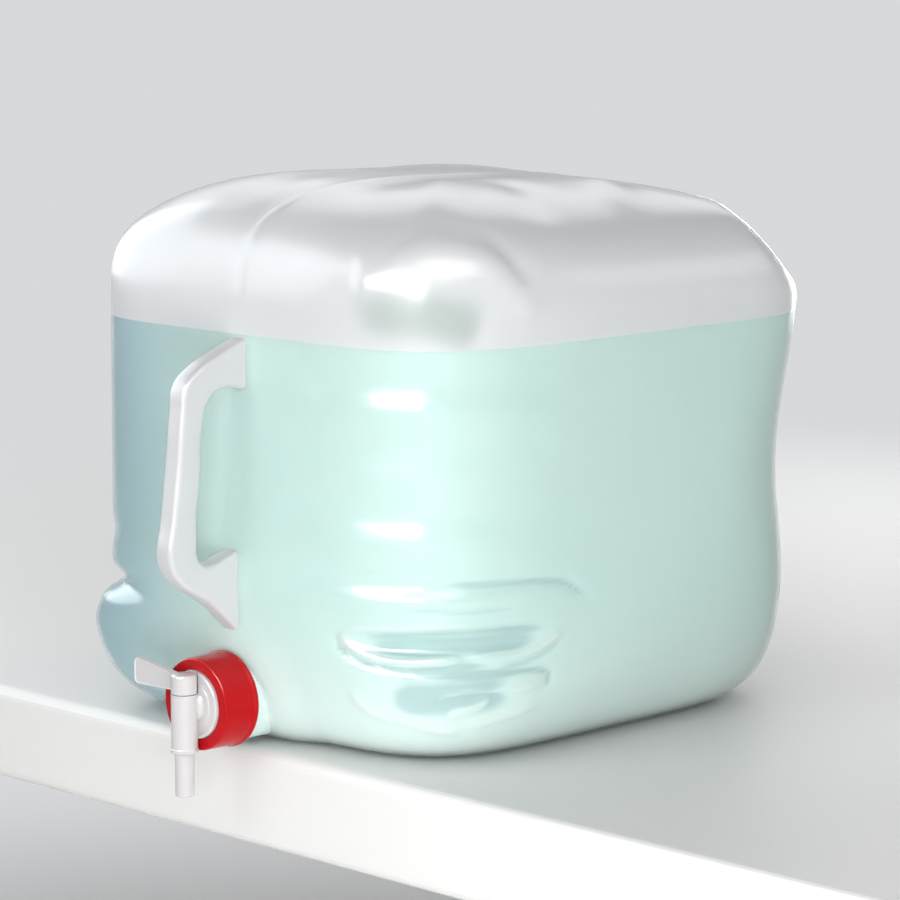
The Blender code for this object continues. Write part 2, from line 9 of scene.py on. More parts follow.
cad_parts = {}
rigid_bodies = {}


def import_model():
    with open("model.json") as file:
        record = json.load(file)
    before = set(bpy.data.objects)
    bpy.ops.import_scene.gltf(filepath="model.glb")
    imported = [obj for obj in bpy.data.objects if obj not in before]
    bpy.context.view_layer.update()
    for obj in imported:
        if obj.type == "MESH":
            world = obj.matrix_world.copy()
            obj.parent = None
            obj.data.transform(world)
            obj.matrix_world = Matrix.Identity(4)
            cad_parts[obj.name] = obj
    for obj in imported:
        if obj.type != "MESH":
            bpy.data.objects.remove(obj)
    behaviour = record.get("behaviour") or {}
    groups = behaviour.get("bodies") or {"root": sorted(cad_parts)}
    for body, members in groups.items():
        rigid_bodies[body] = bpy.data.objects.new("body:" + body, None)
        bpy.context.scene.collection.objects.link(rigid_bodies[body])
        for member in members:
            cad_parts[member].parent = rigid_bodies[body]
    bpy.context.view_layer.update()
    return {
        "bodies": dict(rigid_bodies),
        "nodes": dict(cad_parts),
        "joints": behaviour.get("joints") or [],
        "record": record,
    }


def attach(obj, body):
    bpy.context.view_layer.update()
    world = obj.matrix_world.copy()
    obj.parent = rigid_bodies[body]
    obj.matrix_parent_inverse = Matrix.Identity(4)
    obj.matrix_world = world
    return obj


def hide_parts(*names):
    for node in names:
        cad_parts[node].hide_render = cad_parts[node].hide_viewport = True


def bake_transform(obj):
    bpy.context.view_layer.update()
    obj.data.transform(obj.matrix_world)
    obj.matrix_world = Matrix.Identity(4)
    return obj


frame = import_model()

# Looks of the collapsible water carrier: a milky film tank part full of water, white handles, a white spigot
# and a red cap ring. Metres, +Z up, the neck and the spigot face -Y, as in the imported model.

MM = 0.001

# The tank's own form, as in the part's source
TANK_WIDTH = 274.0 * MM
TANK_DEPTH = 298.0 * MM
TANK_HEIGHT = 276.0 * MM
WALL = 1.2 * MM
WAIST = 215.0 * MM
BASE_SAG = 2.5 * MM
PLAN_POWER = 4.7
HEEL_POWER = 8.3
SHOULDER_POWER = 3.0
COLUMN_CROWDING = 1.2
CROWN_EDGE_SHARE = 0.8
LEAN_OUT = 4.5 * MM
LEAN_IN = 3.0 * MM
LEAN_FROM = 80.0 * MM
LEAN_TO = 205.0 * MM
PLEAT_REACH = 72.0 * MM
# The pleats: height, span and swell, which is below zero in a crease. The lobe has a second, longer span
# below its height
LOBE = (42.0 * MM, 35.0 * MM, 12.8 * MM)
LOBE_FALL = 110.0 * MM
CREASE = (68.0 * MM, 10.0 * MM, -7.5 * MM)
SHALLOW_LOBE = (42.0 * MM, 22.0 * MM, 2.9 * MM)
SHALLOW_CREASE = (63.0 * MM, 11.0 * MM, -2.5 * MM)
HUMP = (78.0 * MM, 12.0 * MM, 0.9 * MM)
UPPER_CREASE = (94.0 * MM, 10.0 * MM, -1.1 * MM)
SLUMP = 23.0 * MM
SLUMP_REACH = 43.0 * MM
DENT_HEIGHT = 140.0 * MM
DENT_SPAN = 85.0 * MM
DENT_DEPTH = 6.0 * MM
DENT_REACH = 70.0 * MM
STAND_OUT = 5.2 * MM
STAND_FROM = 100.0 * MM
STAND_TO = 200.0 * MM
STAND_REACH = 90.0 * MM
SAG = 3.8 * MM
SAG_REACH = 78.0 * MM
CROWN_FALL = 0.021

# Neck, thread, spigot and handles, as in the part's source
NECK_HEIGHT = 24.6 * MM
NECK_RADIUS = 18.5 * MM
NECK_BORE = 16.0 * MM
COLLAR_RADIUS = 21.5 * MM
THREAD_PITCH = 6.0 * MM
THREAD_TURNS = 1.5
THREAD_TUBE = 1.3 * MM
THREAD_OFFSET = 0.1 * MM
THREAD_START = 10.5 * MM
FRONT = -TANK_DEPTH / 2
NECK_FRAME = Matrix.Translation((0, FRONT, NECK_HEIGHT)) @ Matrix.Rotation(math.radians(90), 4, "X")

# Fineness of the tank's skin
COLUMNS = 100
ROWS = 96

SEAM_HEIGHT = 0.35 * MM
SEAM_WIDTH = 1.6 * MM

# Soft ribs round the near corner: height, half width, how far they stand out, and reach, in mm
RIBS = (
    (174, 15, 2.8, 95),
    (143, 14, 1.6, 95),
    (112, 15, 3.1, 95),
    (84, 9, 2.2, 90),
)

# Fold lines of the near corner's two pleats, in mm round from the corner and up, each with its width, height
# and fade at the ends
CORNER_FOLDS = (
    (((-40, 61), (-10, 61.5), (30, 62), (66, 62.5)), 5.5, -2.2, 0.25),
    (((-45, 65.6), (-25, 67.2), (-3, 68.8), (19, 69.6), (45, 68.4), (73, 66.6)), 1.7, -1.2, 0.15),
    (((-48, 66.5), (-40, 69.5), (-20, 71.5), (5, 72.5), (40, 72)), 3.0, 1.1, 0.3),
    (
        ((-49, 68), (-46, 62.5), (-39, 58.8), (-29, 56.6), (-16, 55.9), (-3, 56.2), (15, 57.4)),
        2.1,
        2.6,
        0.12,
    ),
    (((10, 57.2), (34, 56.6), (51, 56.4), (65, 60), (74, 65)), 2.2, 1.4, 0.2),
    (
        ((-52, 66), (-49, 59.5), (-41, 55), (-30, 52.6), (-16, 51.8), (-3, 52), (15, 53), (34, 52.2)),
        1.9,
        -1.8,
        0.15,
    ),
    (((30, 52.4), (51, 51.8), (66, 55.6), (76, 61.5)), 1.8, -1.1, 0.2),
    (((-6, 93.4), (15, 92.5), (34, 92), (56, 90.8), (75, 88), (85, 82), (101, 73)), 2.2, -1.3, 0.2),
    (((-24, 81.5), (-7, 81), (15, 79.6), (34, 79.5), (62, 76)), 2.0, -1.0, 0.3),
    (((-28, 36), (8, 37), (48, 38)), 9.0, -2.4, 0.25),
    (((-20, 47.5), (-3, 50), (15, 48.9), (34, 47.9), (61, 45.8), (66, 40), (60, 32)), 1.8, -1.7, 0.2),
    (((-44, 41), (-39, 34), (-30, 28.6), (-16, 25.8), (-4, 22.6), (6, 20.5), (16, 21)), 2.6, 1.5, 0.15),
    (((14, 21), (30, 24), (47, 26.4), (61, 31)), 2.4, 1.2, 0.2),
    (((61, 41), (51, 38.5), (34, 39), (16, 39.8), (5, 38), (-4, 36)), 1.8, 1.5, 0.2),
    (((8, 24), (10, 29), (19, 31), (26, 33.5), (31, 37)), 1.9, 1.7, 0.2),
)

# The hollow under the near corner's facet, the painted shade on the film in it, and the facets of the crown,
# as points in mm, each with its width, height and fade at the ends
HOLLOW = (((90, -144, 228), (108, -133, 226), (121, -121, 221), (132, -104, 214)), 13.0, -0.8, 0.3)
SHADE = (
    ((70, -148, 217), (94, -140, 222), (112, -129, 222), (126, -115, 216), (132, -104, 211)),
    13.0,
    1.0,
    0.3,
)
CROWN_FOLDS = (
    (
        (
            (74, -144, 236),
            (88, -139, 241),
            (100, -126, 250),
            (112, -112, 251),
            (124, -98, 244),
            (131, -90, 233),
        ),
        12.0,
        2.2,
        0.15,
    ),
    (((124, -98, 244), (131, -90, 233), (135, -83, 224), (137.5, -74, 216)), 8.0, 1.8, 0.35),
    (((97, -111, 262), (112, -100, 260), (121, -91, 256), (130, -84, 246), (136, -74, 232)), 6.0, -1.7, 0.2),
    (((97, -111, 262), (92, -134, 250), (80, -142, 239)), 4.0, -0.9, 0.3),
    (((97, -105, 263), (60, -70, 272), (15, -15, 276)), 9.0, 1.6, 0.3),
    (((40, -118, 262), (20, -60, 274), (10, 20, 276), (-20, 80, 272)), 14.0, -1.1, 0.4),
    (((-70, -110, 262), (-50, -50, 274), (-10, -5, 276)), 14.0, 0.6, 0.4),
    (((120, -50, 262), (80, -20, 272), (30, 0, 276)), 12.0, -1.5, 0.3),
    (((118, 10, 262), (80, 40, 270), (40, 60, 273)), 10.0, 1.6, 0.3),
    (((-100, 20, 266), (-60, 50, 272), (-20, 100, 270)), 13.0, 0.9, 0.4),
    (((-30, -130, 252), (-20, -90, 268), (-35, -40, 275)), 10.0, 0.4, 0.4),
)

# The film is drawn out a little round the handles' roots: height, half span and how far, in mm
ROOT_SWELLS = ((81, 27, 1.2), (195, 22, 1.2))
ROOT_SWELL_SPAN = 17 * MM
# It swells towards the neck too
NECK_MOUND = 3.2 * MM
NECK_MOUND_REACH = 48 * MM

WATER_LEVEL = 205.0 * MM
WATER_INSET = 0.8 * MM


# ---- the tank's skin ----


def bump(distance, span):
    share = np.minimum(np.abs(distance) / span, 1.0)
    return np.cos(share * np.pi / 2) ** 2


def ramp(value, low, high):
    share = np.clip((value - low) / (high - low), 0.0, 1.0)
    return share * share * (3 - 2 * share)


def heel_share(z):
    depth = np.clip((WAIST - z) / (WAIST + BASE_SAG), 0.0, 1.0)
    return (1 - depth**HEEL_POWER) ** (1 / HEEL_POWER)


def crown_height(share):
    rise = (1 - share**SHOULDER_POWER) ** (1 / SHOULDER_POWER)
    return WAIST + (TANK_HEIGHT - WAIST) * rise


def side_profile(rows):
    """Heights and plan shares of the rows up the side, set closer where the pleats are."""
    z = np.linspace(0, WAIST, 8000)
    share = heel_share(z)
    angle = np.linspace(0, math.acos(CROWN_EDGE_SHARE ** (SHOULDER_POWER / 2)), 2000)[1:]
    top_share = np.cos(angle) ** (2 / SHOULDER_POWER)
    z = np.concatenate([z, crown_height(top_share)])
    share = np.concatenate([share, top_share])
    step = np.hypot(np.diff(z), np.diff(share) * TANK_WIDTH / 2)
    middle = (z[1:] + z[:-1]) / 2
    spacing = np.where(middle < 108 * MM, 1.0, 2.4)
    done = np.concatenate([[0], np.cumsum(step / spacing)])
    at = np.linspace(0, done[-1], rows + 1)
    return np.interp(at, done, z), np.interp(at, done, share)


def plan_place(u, v, share):
    reach = np.maximum(np.abs(u), np.abs(v))
    side = np.where(reach > 0, u / np.maximum(reach, 1e-9), 1.0)
    end = v / np.maximum(reach, 1e-9)
    pull = (np.abs(side) ** PLAN_POWER + np.abs(end) ** PLAN_POWER) ** (-1 / PLAN_POWER)
    return TANK_WIDTH / 2 * share * pull * side, TANK_DEPTH / 2 * share * pull * end


def pleat(z, form, fall=None):
    height, span, swell = form
    return swell * bump(z - height, span if fall is None else np.where(z < height, fall, span))


def shaped(x, y, z):
    """The filled tank's lean, pleats, slump and dent, as in the part's source."""
    facing = np.cos(np.minimum(np.abs(x) / (TANK_WIDTH / 2), 1.0) * np.pi / 2) ** 2
    facing = facing * ramp(np.abs(y), TANK_DEPTH / 4, TANK_DEPTH / 2 - BASE_SAG)
    lean = LEAN_OUT - (LEAN_OUT + LEAN_IN) * ramp(z, LEAN_FROM, LEAN_TO)
    y = y + np.sign(y) * lean * facing * ramp(z, 0, LEAN_OUT)
    corner = 2 ** (-1 / PLAN_POWER)
    far = np.hypot(np.abs(x) - TANK_WIDTH / 2 * corner, np.abs(y) - TANK_DEPTH / 2 * corner)
    root = math.sqrt(0.5)
    lobed = pleat(z, LOBE, LOBE_FALL) + pleat(z, CREASE)
    shallow = pleat(z, SHALLOW_LOBE) + pleat(z, SHALLOW_CREASE)
    swell = np.where(x < 0, lobed, shallow) + pleat(z, HUMP) + pleat(z, UPPER_CREASE)
    swell = np.where(y < 0, swell * bump(far, PLEAT_REACH), 0.0)
    slack = (y > 0) & (x > 0)
    stand = STAND_OUT * ramp(z, STAND_FROM, STAND_TO) * bump(far, STAND_REACH)
    dent = DENT_DEPTH * bump(z - DENT_HEIGHT, DENT_SPAN) * bump(far, DENT_REACH)
    swell += np.where(slack, stand - dent, 0.0)
    drop = np.where(slack, SLUMP * bump(far, SLUMP_REACH), 0.0)
    drop += np.where((x < 0) & (y < 0), SAG * bump(far, SAG_REACH), 0.0)
    drop = (drop + CROWN_FALL * (x + y)) * ramp(z, WAIST - SLUMP, TANK_HEIGHT)
    return x + swell * root * np.sign(x), y + swell * root * np.sign(y), z - drop


def lattice(columns, rows):
    """The surface points of a block of cells, and the quads between them, facing outwards."""
    index = {}

    def at(*key):
        return index.setdefault(key, len(index))

    quads = []
    for i in range(columns):
        for j in range(columns):
            cell = [(i, j), (i + 1, j), (i + 1, j + 1), (i, j + 1)]
            quads.append([at(a, b, rows) for a, b in cell])
            quads.append([at(a, b, 0) for a, b in reversed(cell)])
    for i in range(columns):
        for k in range(rows):
            cell = [(i, k), (i + 1, k), (i + 1, k + 1), (i, k + 1)]
            quads.append([at(a, 0, c) for a, c in cell])
            quads.append([at(a, columns, c) for a, c in reversed(cell)])
            quads.append([at(columns, a, c) for a, c in cell])
            quads.append([at(0, a, c) for a, c in reversed(cell)])
    return np.array(list(index)), quads


def corner_table():
    """Arc length round the plan from the near corner, against place along the unit square's edge."""
    place = np.linspace(-2, 2, 4001)
    u = np.where(place < 0, 1 + place, 1.0)
    v = np.where(place < 0, -1.0, place - 1)
    x, y = plan_place(u, v, 1.0)
    length = np.concatenate([[0], np.cumsum(np.hypot(np.diff(x), np.diff(y)))])
    return place, length - length[len(place) // 2]


def tank_skin(columns, rows):
    """Points of the tank's outer skin, its quads, and each point's distance round from the near corner."""
    cells, quads = lattice(columns, rows)
    heights, shares = side_profile(rows)
    crowd = math.sin(COLUMN_CROWDING)
    u = np.sin((cells[:, 0] * 2 / columns - 1) * COLUMN_CROWDING) / crowd
    v = np.sin((cells[:, 1] * 2 / columns - 1) * COLUMN_CROWDING) / crowd
    reach = np.maximum(np.abs(u), np.abs(v))
    share = shares[cells[:, 2]] * reach
    z = np.where(cells[:, 2] == rows, crown_height(np.minimum(share, 1.0)), heights[cells[:, 2]])
    x, y = plan_place(u, v, share)
    points = np.stack(shaped(x, y, z), axis=1)
    u, v = u / np.maximum(reach, 1e-9), v / np.maximum(reach, 1e-9)
    place = np.where(u > 1 - 1e-6, v + 1, np.where(v < -1 + 1e-6, u - 1, 9.0))
    along = np.where(place < 3, np.interp(place, *corner_table()), 9.0)
    return points, quads, along


def smooth_line(knots, steps=8):
    """A Catmull-Rom curve through the knots."""
    knots = np.array(knots, float)
    ends = np.vstack([2 * knots[0] - knots[1], knots, 2 * knots[-1] - knots[-2]])
    made = []
    for a, b, c, d in zip(ends, ends[1:], ends[2:], ends[3:]):
        for t in np.arange(steps) / steps:
            square, cube = 2 * a - 5 * b + 4 * c - d, 3 * b - a - 3 * c + d
            made.append(0.5 * (2 * b + (c - a) * t + square * t**2 + cube * t**3))
    return np.array(made + [knots[-1]])


def stroke(points, knots, width, height, fade=0.2):
    """How far points stand out beside a rounded ridge along the knots, which fades at its ends."""
    line = smooth_line(np.array(knots) * MM)
    width = width * MM
    near = (points > line.min(axis=0) - 4 * width).all(axis=1)
    near &= (points < line.max(axis=0) + 4 * width).all(axis=1)
    raised = np.zeros(len(points))
    if not near.any():
        return raised
    some = points[near]
    closest = np.full(len(some), 1e9)
    place = np.zeros(len(some))
    for step, (a, b) in enumerate(zip(line, line[1:])):
        along = b - a
        share = np.clip((some - a) @ along / max(along @ along, 1e-12), 0, 1)
        apart = np.linalg.norm(some - a - share[:, None] * along, axis=1)
        better = apart < closest
        closest = np.where(better, apart, closest)
        place = np.where(better, (step + share) / (len(line) - 1), place)
    ends = ramp(place, 0, fade) * ramp(1 - place, 0, fade) if fade else 1.0
    raised[near] = height * MM * np.exp(-((closest / width) ** 2)) * ends
    return raised


def pleat_lines(points, along):
    """The fine fold lines of the near corner's pleats, as a distance along each point's normal."""
    flat = np.stack([along, points[:, 2]], axis=1)
    return sum(stroke(flat, *fold) for fold in CORNER_FOLDS)


def crown_fold(points, knots, width, height, fade):
    """A fold of the crown, with its knots drawn onto the skin."""
    on_skin = [points[np.linalg.norm(points - np.array(knot) * MM, axis=1).argmin()] / MM for knot in knots]
    return stroke(points, on_skin, width, height, fade)


def folds(points, along):
    """Creases, ribs and facets of the used film, as a distance along each point's normal."""
    raised = pleat_lines(points, along)
    for z, width, height, reach in RIBS:
        raised += height * MM * bump(points[:, 2] - z * MM, width * MM) * bump(along + 12 * MM, reach * MM)
    side = points[:, 2] < WAIST
    raised = np.where(side, raised, 0.0)
    raised += crown_fold(points, *HOLLOW) + sum(crown_fold(points, *fold) for fold in CROWN_FOLDS)
    round_neck = np.hypot(points[:, 0], points[:, 2] - NECK_HEIGHT)
    mound = NECK_MOUND * (1 - ramp(round_neck, COLLAR_RADIUS, NECK_MOUND_REACH))
    raised += np.where(points[:, 1] < FRONT / 2, mound, 0.0)
    for z, width, height in ROOT_SWELLS:
        raised += height * MM * bump(points[:, 0], ROOT_SWELL_SPAN) * bump(points[:, 2] - z * MM, width * MM)
    seam = SEAM_HEIGHT * np.exp(-((points[:, 0] / SEAM_WIDTH) ** 2)) * ramp(points[:, 2], 2 * MM, 6 * MM)
    return raised + seam


def new_mesh(name, points, faces):
    mesh = bpy.data.meshes.new(name)
    mesh.from_pydata([tuple(point) for point in points], [], [tuple(face) for face in faces])
    mesh.update()
    return mesh


def point_normals(mesh):
    flat = np.empty(len(mesh.vertices) * 3)
    mesh.vertex_normals.foreach_get("vector", flat)
    return flat.reshape(-1, 3)


def new_piece(name, mesh, finish):
    obj = bpy.data.objects.new(name, mesh)
    bpy.context.scene.collection.objects.link(obj)
    if finish:
        obj.data.materials.clear()
        obj.data.materials.append(finish)
    obj.data.shade_smooth()
    return obj


def applied(obj):
    """The object's mesh with its modifiers worked in."""
    bpy.context.view_layer.update()
    graph = bpy.context.evaluated_depsgraph_get()
    mesh = bpy.data.meshes.new_from_object(obj.evaluated_get(graph))
    obj.modifiers.clear()
    obj.data = mesh
    return obj


# ---- finishes ----


def principled(name, colour, roughness, **sockets):
    made = bpy.data.materials.new(name)
    made.use_nodes = True
    shader = made.node_tree.nodes["Principled BSDF"]
    shader.inputs["Base Color"].default_value = (*colour, 1.0)
    shader.inputs["Roughness"].default_value = roughness
    for socket, value in sockets.items():
        shader.inputs[socket.replace("_", " ")].default_value = value
    return made


def wire(made, node_type, **values):
    node = made.node_tree.nodes.new(node_type)
    for key, value in values.items():
        if key in node.inputs.keys():
            node.inputs[key].default_value = value
        else:
            setattr(node, key, value)
    return node


def noise(made, scale, detail, stretch=(1, 1, 1)):
    """Noise in the piece's own metres, stretched along its axes."""
    coords = wire(made, "ShaderNodeTexCoord")
    mapping = wire(made, "ShaderNodeMapping")
    mapping.inputs["Scale"].default_value = stretch
    texture = wire(made, "ShaderNodeTexNoise", Scale=scale, Detail=detail)
    links = made.node_tree.links
    links.new(coords.outputs["Object"], mapping.inputs["Vector"])
    links.new(mapping.outputs["Vector"], texture.inputs["Vector"])
    return texture.outputs["Fac"]


def ramp_of(made, value, low, high, to_low, to_high):
    node = wire(made, "ShaderNodeMapRange", interpolation_type="SMOOTHSTEP")
    for key, number in (("From Min", low), ("From Max", high), ("To Min", to_low), ("To Max", to_high)):
        node.inputs[key].default_value = number
    made.node_tree.links.new(value, node.inputs["Value"])
    return node.outputs["Result"]


def mix_colour(made, factor, first, second):
    node = made.node_tree.nodes.new("ShaderNodeMix")
    node.data_type = "RGBA"
    for socket, value in ((node.inputs[6], first), (node.inputs[7], second)):
        if isinstance(value, bpy.types.NodeSocket):
            made.node_tree.links.new(value, socket)
        else:
            socket.default_value = (*value, 1.0)
    made.node_tree.links.new(factor, node.inputs[0])
    return node.outputs[2]


def add_bumps(made, *layers):
    """Chains bump nodes: each layer is (height value, strength, distance)."""
    links = made.node_tree.links
    shader = made.node_tree.nodes["Principled BSDF"]
    last = None
    for height, strength, distance in layers:
        node = wire(made, "ShaderNodeBump", Strength=strength, Distance=distance)
        links.new(height, node.inputs["Height"])
        if last:
            links.new(last, node.inputs["Normal"])
        last = node.outputs["Normal"]
    links.new(last, shader.inputs["Normal"])


def set_input(made, socket, value):
    made.node_tree.links.new(value, made.node_tree.nodes["Principled BSDF"].inputs[socket])


def place_of(made, axis):
    coords = wire(made, "ShaderNodeTexCoord")
    split = wire(made, "ShaderNodeSeparateXYZ")
    made.node_tree.links.new(coords.outputs["Object"], split.inputs["Vector"])
    return split.outputs[axis]


# Painted shade: the film and the water are coloured darker and bluer towards the front corner on -X
LEFT_SHADE_FILM = (0.50, 0.70, 0.75)
LEFT_SHADE_WATER = (0.32, 0.55, 0.60)
LEFT_SHADE_ALONG_X = (-115 * MM, -8 * MM)
LEFT_SHADE_ALONG_Y = (-130 * MM, -20 * MM)

# The film's roughness stays below 0.27: test renders showed patches with hard edges where it crossed that
FILM_ROUGHNESS = (0.20, 0.26)
WET_ALPHA = 0.42
DRY_ALPHA = 0.62
WATER_LINE_BLUR = 0.4 * MM


def left_corner_shade(made):
    """The mask of the painted shade: 1 at the front corner on -X, falling to 0 along both walls."""
    both = wire(made, "ShaderNodeMath", operation="MULTIPLY")
    left = ramp_of(made, place_of(made, "X"), *LEFT_SHADE_ALONG_X, 1.0, 0.0)
    front = ramp_of(made, place_of(made, "Y"), *LEFT_SHADE_ALONG_Y, 1.0, 0.0)
    made.node_tree.links.new(left, both.inputs[0])
    made.node_tree.links.new(front, both.inputs[1])
    return both.outputs[0]


def film_finish():
    """Milky film: white and clouded above the water, clearer where water wets it inside."""
    made = principled("milky_film_look", (0.9, 0.92, 0.93), 0.3)
    cloud = noise(made, 9.0, 3.0)
    streak = noise(made, 60.0, 2.0, (1, 1, 0.12))
    grain = noise(made, 900.0, 2.0)
    water_line = (WATER_LEVEL - WATER_LINE_BLUR, WATER_LEVEL + WATER_LINE_BLUR)
    dry = ramp_of(made, place_of(made, "Z"), *water_line, 0.0, 1.0)
    tint = mix_colour(made, cloud, (0.91, 0.915, 0.93), (0.85, 0.86, 0.88))
    # Painted shade: the dry film turns darker grey-green in the hollow under the near corner's facet
    under = wire(made, "ShaderNodeAttribute", attribute_name="shade").outputs["Fac"]
    tint = mix_colour(made, ramp_of(made, under, 0.0, 1.0, 0.0, 0.8), tint, (0.52, 0.60, 0.575))
    # Painted light: the wet film turns lighter towards the bottom, standing in for light glowing up through
    # the water
    low = ramp_of(made, place_of(made, "Z"), 0.0, 85 * MM, 1.0, 0.0)
    wet = mix_colour(made, cloud, (0.82, 0.95, 0.90), (0.76, 0.92, 0.89))
    wet = mix_colour(made, low, wet, (0.93, 1.0, 0.97))
    # Painted shade: the wet film turns darker and bluer towards the front corner on -X
    wet = mix_colour(made, left_corner_shade(made), wet, LEFT_SHADE_FILM)
    # Painted shade in the pleats' creases and painted highlights along their ridges
    line = wire(made, "ShaderNodeAttribute", attribute_name="pleat_line").outputs["Fac"]
    wet = mix_colour(made, ramp_of(made, line, -1.6, -0.3, 0.8, 0.0), wet, (0.50, 0.66, 0.66))
    wet = mix_colour(made, ramp_of(made, line, 0.3, 1.6, 0.0, 0.9), wet, (1.0, 1.0, 1.0))
    set_input(made, "Base Color", mix_colour(made, dry, wet, tint))
    set_input(made, "Alpha", ramp_of(made, dry, 0.0, 1.0, WET_ALPHA, DRY_ALPHA))
    set_input(made, "Roughness", ramp_of(made, cloud, 0.15, 0.85, *FILM_ROUGHNESS))
    add_bumps(made, (streak, 0.25, 0.6 * MM), (grain, 0.06, 0.2 * MM))
    return made


def water_finish():
    made = principled("water_look", (0.45, 0.78, 0.76), 0.12)
    cloud = noise(made, 6.0, 2.0)
    body = mix_colour(made, cloud, (0.54, 0.83, 0.79), (0.44, 0.76, 0.76))
    # Painted shade: the water turns darker and bluer towards the front corner on -X
    set_input(made, "Base Color", mix_colour(made, left_corner_shade(made), body, LEFT_SHADE_WATER))
    return made


def moulded_finish(name, light, dark, roughness, grain_size=700.0, **sockets):
    made = principled(name, light, roughness, **sockets)
    cloud = noise(made, 30.0, 2.0)
    grain = noise(made, grain_size, 3.0)
    set_input(made, "Base Color", mix_colour(made, cloud, light, dark))
    set_input(made, "Roughness", ramp_of(made, grain, 0.2, 0.8, roughness - 0.03, roughness + 0.04))
    add_bumps(made, (grain, 0.05, 0.05 * MM), (cloud, 0.05, 1.0 * MM))
    return made


FILM = film_finish()
FILM_SOLID = moulded_finish("milky_neck_look", (0.70, 0.82, 0.80), (0.66, 0.79, 0.77), 0.32)
WATER = water_finish()
HANDLE_WHITE = moulded_finish("white_moulding_look", (0.61, 0.61, 0.62), (0.57, 0.57, 0.59), 0.33)
SPIGOT_WHITE = moulded_finish("spigot_white_look", (0.62, 0.605, 0.605), (0.58, 0.565, 0.57), 0.22)
CAP_RED = moulded_finish(
    "red_cap_look", (0.48, 0.007, 0.010), (0.42, 0.005, 0.008), 0.22, Specular_IOR_Level=0.12
)
RUBBER = moulded_finish("gasket_rubber_look", (0.10, 0.10, 0.105), (0.07, 0.07, 0.075), 0.65)


# ---- tank and water ----


def make_tank():
    points, quads, along = tank_skin(COLUMNS, ROWS)
    mesh = new_mesh("tank_shell", points, quads)
    # The pleats' fold heights and the mask of the painted shade in the facet's hollow go onto the mesh, for
    # the film's painted highlights and shade
    for name, values in (
        ("pleat_line", pleat_lines(points, along)),
        ("shade", crown_fold(points, *SHADE)),
    ):
        mesh.attributes.new(name, "FLOAT", "POINT").data.foreach_set("value", values / MM)
    points = points + point_normals(mesh) * folds(points, along)[:, None]
    mesh.vertices.foreach_set("co", points.ravel())
    middle = points[np.array(quads)].mean(axis=1)
    reach = np.hypot(points[:, 0], points[:, 2] - NECK_HEIGHT)
    hole = (reach[np.array(quads)].max(axis=1) < (NECK_BORE + COLLAR_RADIUS) / 2) & (middle[:, 1] < 0)
    edit = bmesh.new()
    edit.from_mesh(mesh)
    edit.faces.ensure_lookup_table()
    gone = [edit.faces[index] for index in np.nonzero(hole)[0]]
    bmesh.ops.delete(edit, geom=gone, context="FACES")
    flat = [face for face in edit.faces if all(vert.co.z < 1e-7 for vert in face.verts)]
    bmesh.ops.dissolve_faces(edit, faces=flat)
    edit.to_mesh(mesh)
    edit.free()
    shell = new_piece("tank_shell", mesh, FILM)
    wall = shell.modifiers.new("Wall", "SOLIDIFY")
    wall.thickness = WALL
    wall.offset = -1
    applied(shell)
    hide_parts("tank_front", "tank_fold_wall", "tank_rear")
    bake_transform(shell)
    return shell


def make_water():
    points, quads, along = tank_skin(COLUMNS, ROWS)
    mesh = new_mesh("water_fill", points, quads)
    raised = folds(points, along) - WALL - WATER_INSET
    points = points + point_normals(mesh) * raised[:, None]
    mesh.vertices.foreach_set("co", points.ravel())
    edit = bmesh.new()
    edit.from_mesh(mesh)
    whole = list(edit.verts) + list(edit.edges) + list(edit.faces)
    cut = bmesh.ops.bisect_plane(
        edit, geom=whole, plane_co=(0, 0, WATER_LEVEL), plane_no=(0, 0, 1), clear_outer=True
    )
    rim = [edge for edge in cut["geom_cut"] if isinstance(edge, bmesh.types.BMEdge)]
    bmesh.ops.contextual_create(edit, geom=rim)
    edit.to_mesh(mesh)
    edit.free()
    water = new_piece("water_fill", mesh, WATER)
    mesh.set_sharp_from_angle(angle=math.radians(40))
    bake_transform(water)
    return water


make_tank()
make_water()

# ---- turned and moulded pieces ----


def rounded(corners, steps=5):
    """A closed outline of (across, up, fillet) corners in mm, curved at each corner that has a fillet."""
    made = []
    for index, (across, up, fillet) in enumerate(corners):
        here = Vector((across, up))
        if not fillet:
            made.append(here)
            continue
        before = Vector(corners[index - 1][:2]) - here
        after = Vector(corners[(index + 1) % len(corners)][:2]) - here
        reach = fillet / math.tan(before.angle(after) / 2)
        reach = min(reach, before.length * 0.48, after.length * 0.48)
        first = here + before.normalized() * reach
        last = here + after.normalized() * reach
        for step in range(steps + 1):
            t = step / steps
            made.append(first * (1 - t) ** 2 + here * 2 * t * (1 - t) + last * t**2)
    return [point * MM for point in made]


def tidy_mesh(name, points, faces):
    """A mesh with coincident points merged and its faces turned outwards."""
    mesh = new_mesh(name, points, faces)
    edit = bmesh.new()
    edit.from_mesh(mesh)
    bmesh.ops.remove_doubles(edit, verts=edit.verts, dist=1e-7)
    bmesh.ops.dissolve_degenerate(edit, edges=edit.edges, dist=1e-7)
    bmesh.ops.recalc_face_normals(edit, faces=edit.faces)
    edit.to_mesh(mesh)
    edit.free()
    return mesh


def lathe(name, corners, frame, finish=None, sides=96):
    """A closed outline of (radius, height, fillet) corners in mm, turned about the frame's z axis."""
    outline = rounded(corners)
    points, faces = [], []
    count = len(outline)
    for side in range(sides):
        angle = 2 * math.pi * side / sides
        for radius, height in outline:
            points.append(frame @ Vector((radius * math.cos(angle), radius * math.sin(angle), height)))
        near, far = side * count, (side + 1) % sides * count
        for index in range(count):
            after = (index + 1) % count
            faces.append((near + index, near + after, far + after, far + index))
    return new_piece(name, tidy_mesh(name, points, faces), finish)


def bar(name, radius, low, high, frame, sides=64):
    """A plain round bar in mm, to cut with."""
    return lathe(name, ((0, low, 0), (radius, low, 0), (radius, high, 0), (0, high, 0)), frame, None, sides)


